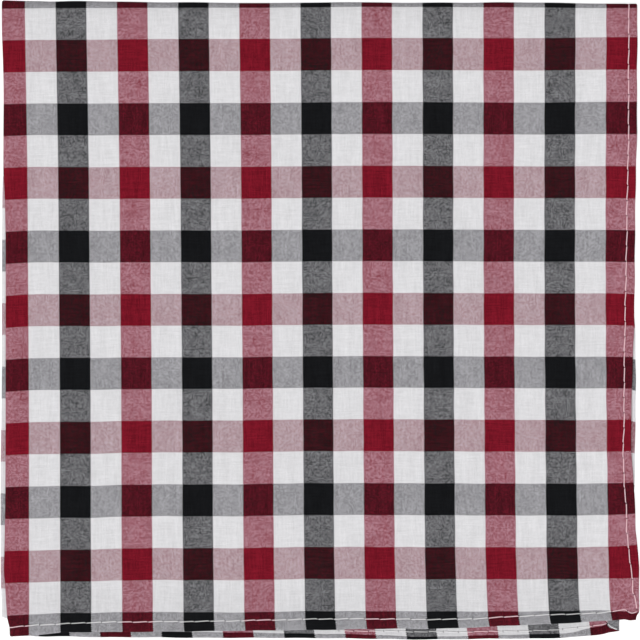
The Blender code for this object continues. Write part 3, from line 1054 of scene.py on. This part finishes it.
class ClothColours(bpy.types.PropertyGroup):
    """Colours of the yarns, the thread and the table."""

    white: colour("White yarn", "Colour of the white yarn", (0.615, 0.610, 0.625))
    red: colour("Red yarn", "Colour of the red yarn", (0.1545, 0.0062, 0.0150))
    black: colour("Black yarn", "Colour of the black yarn", (0.0060, 0.0065, 0.0074))
    thread: colour("Thread", "Colour of the sewing thread", (0.68, 0.67, 0.68))
    table: colour("Table", "Colour of the table", (0.30, 0.30, 0.30))


class StageSizes(bpy.types.PropertyGroup):
    """Camera, lights and table."""

    picture_width: size("Picture width", "What the picture is wide, at the cloth", 154.43 * MM)
    camera_height: size("Camera height", "Height of the camera above the cloth", 2.0)
    overhead: size("Overhead light", "What the overhead light adds to white", 0.965, "NONE")
    all_round: size("Light all round", "What the pale room adds to white", 0.20, "NONE")
    softness: size("Softness", "How wide the overhead light looks", math.radians(40), "ROTATION")
    lean: size("Lean", "How far the light stands off the vertical", math.radians(22), "ROTATION")


class POCKETSQUARE_OT_cloth(bpy.types.Operator):
    """Makes the hemmed gingham square, folded in four"""

    bl_idname = "pocketsquare.cloth"
    bl_label = "Make the cloth"

    def execute(self, context):
        scene = context.scene
        cloth = make_cloth(scene.pocketsquare_sizes)
        cloth.data.materials.append(gingham(scene.pocketsquare_colours))
        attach(cloth, ROOT)
        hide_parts(SOLID)
        return {"FINISHED"}


class POCKETSQUARE_OT_stitching(bpy.types.Operator):
    """Sews the hems, on both sides of the cloth"""

    bl_idname = "pocketsquare.stitching"
    bl_label = "Sew the hems"

    def execute(self, context):
        scene = context.scene
        sizes = scene.pocketsquare_sizes
        thread = make_stitching(sizes)
        thread.data.materials.append(sewing_thread(scene.pocketsquare_colours))
        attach(thread, ROOT)
        return {"FINISHED"}


class POCKETSQUARE_OT_stage(bpy.types.Operator):
    """Sets the table, the lights and the camera"""

    bl_idname = "pocketsquare.stage"
    bl_label = "Set the stage"

    def execute(self, context):
        scene = context.scene
        stage = scene.pocketsquare_stage
        make_table(scene.pocketsquare_colours)
        light_stage(scene, stage)
        place_camera(scene, stage)
        return {"FINISHED"}


TABLE_RADIUS = 6.0
TABLE_FLAT = 4.0
TABLE_RISE = 2.4
TABLE_SEGMENTS = 64
TABLE_RINGS = 12
LEAN_ASIDE = 0.4  # how much of the overhead light's lean is also to the side
PICTURE_PLANE = CAD_BOX[1].z / 3  # the height at which the picture is as wide as its setting says
VIEW_REACH = 20.0


def make_table(colours):
    """A wide board that curves up far from the cloth, so that no horizon shows."""
    deselect_all()
    bpy.ops.mesh.primitive_circle_add(
        vertices=TABLE_SEGMENTS, radius=TABLE_FLAT, fill_type="TRIFAN"
    )
    table = bpy.context.active_object
    table.name = "table"
    bpy.ops.object.mode_set(mode="EDIT")
    bpy.ops.mesh.select_all(action="SELECT")
    bpy.ops.mesh.region_to_loop()
    for n in range(TABLE_RINGS):
        turn = (n + 1) / TABLE_RINGS
        before = n / TABLE_RINGS
        rise = TABLE_RISE * (turn**2 - before**2)
        radius = between(TABLE_FLAT, TABLE_RADIUS, before)
        wider = between(TABLE_FLAT, TABLE_RADIUS, turn) / radius
        bpy.ops.mesh.extrude_edges_move(TRANSFORM_OT_translate={"value": (0, 0, rise)})
        bpy.ops.transform.resize(value=(wider, wider, 1), center_override=(0, 0, 0))
    bpy.ops.object.mode_set(mode="OBJECT")
    bpy.ops.object.shade_smooth()
    table.data.materials.append(pale_table(colours))


def light_stage(scene, stage):
    """One broad soft light from overhead, in a pale room."""
    deselect_all()
    bpy.ops.object.light_add(
        type="SUN", location=(0, 0, 1), rotation=(stage.lean, -stage.lean * LEAN_ASIDE, 0)
    )
    sun = bpy.context.active_object
    sun.name = "overhead_light"
    sun.data.angle = stage.softness
    sun.data.energy = stage.overhead * math.pi
    world = bpy.data.worlds.new("pale_room")
    world.use_nodes = True
    background = world.node_tree.nodes["Background"]
    background.inputs["Color"].default_value = (1, 1, 1, 1)
    background.inputs["Strength"].default_value = stage.all_round
    scene.world = world
    scene.view_settings.view_transform = "Standard"


def place_camera(scene, stage):
    """Straight above the cloth, with the top fold up in the picture."""
    deselect_all()
    place = (0, 0, PICTURE_PLANE + stage.camera_height)
    bpy.ops.object.camera_add(location=place, rotation=(0, 0, 0))
    camera = bpy.context.active_object
    camera.name = "camera"
    camera.data.lens = camera.data.sensor_width * stage.camera_height / stage.picture_width
    camera.data.clip_end = VIEW_REACH
    scene.camera = camera


class POCKETSQUARE_PT_panel(bpy.types.Panel):
    """The pocket square's steps and sizes"""

    bl_idname = "POCKETSQUARE_PT_panel"
    bl_label = "Pocket square"
    bl_space_type = "VIEW_3D"
    bl_region_type = "UI"
    bl_category = "Pocket square"

    def draw(self, context):
        for operator in OPERATORS:
            self.layout.operator(operator.bl_idname)
        for name, group in GROUPS.items():
            for key in group.__annotations__:
                self.layout.prop(getattr(context.scene, name), key)


OPERATORS = (POCKETSQUARE_OT_cloth, POCKETSQUARE_OT_stitching, POCKETSQUARE_OT_stage)
GROUPS = {
    "pocketsquare_sizes": ClothSizes,
    "pocketsquare_colours": ClothColours,
    "pocketsquare_stage": StageSizes,
}


def register():
    for name, group in GROUPS.items():
        bpy.utils.register_class(group)
        setattr(bpy.types.Scene, name, bpy.props.PointerProperty(type=group))
    for step in (*OPERATORS, POCKETSQUARE_PT_panel):
        bpy.utils.register_class(step)


def unregister():
    for step in (POCKETSQUARE_PT_panel, *reversed(OPERATORS)):
        bpy.utils.unregister_class(step)
    for name, group in GROUPS.items():
        delattr(bpy.types.Scene, name)
        bpy.utils.unregister_class(group)


def main():
    register()
    bpy.ops.pocketsquare.cloth()
    bpy.ops.pocketsquare.stitching()
    bpy.ops.pocketsquare.stage()


if __name__ == "__main__":
    main()
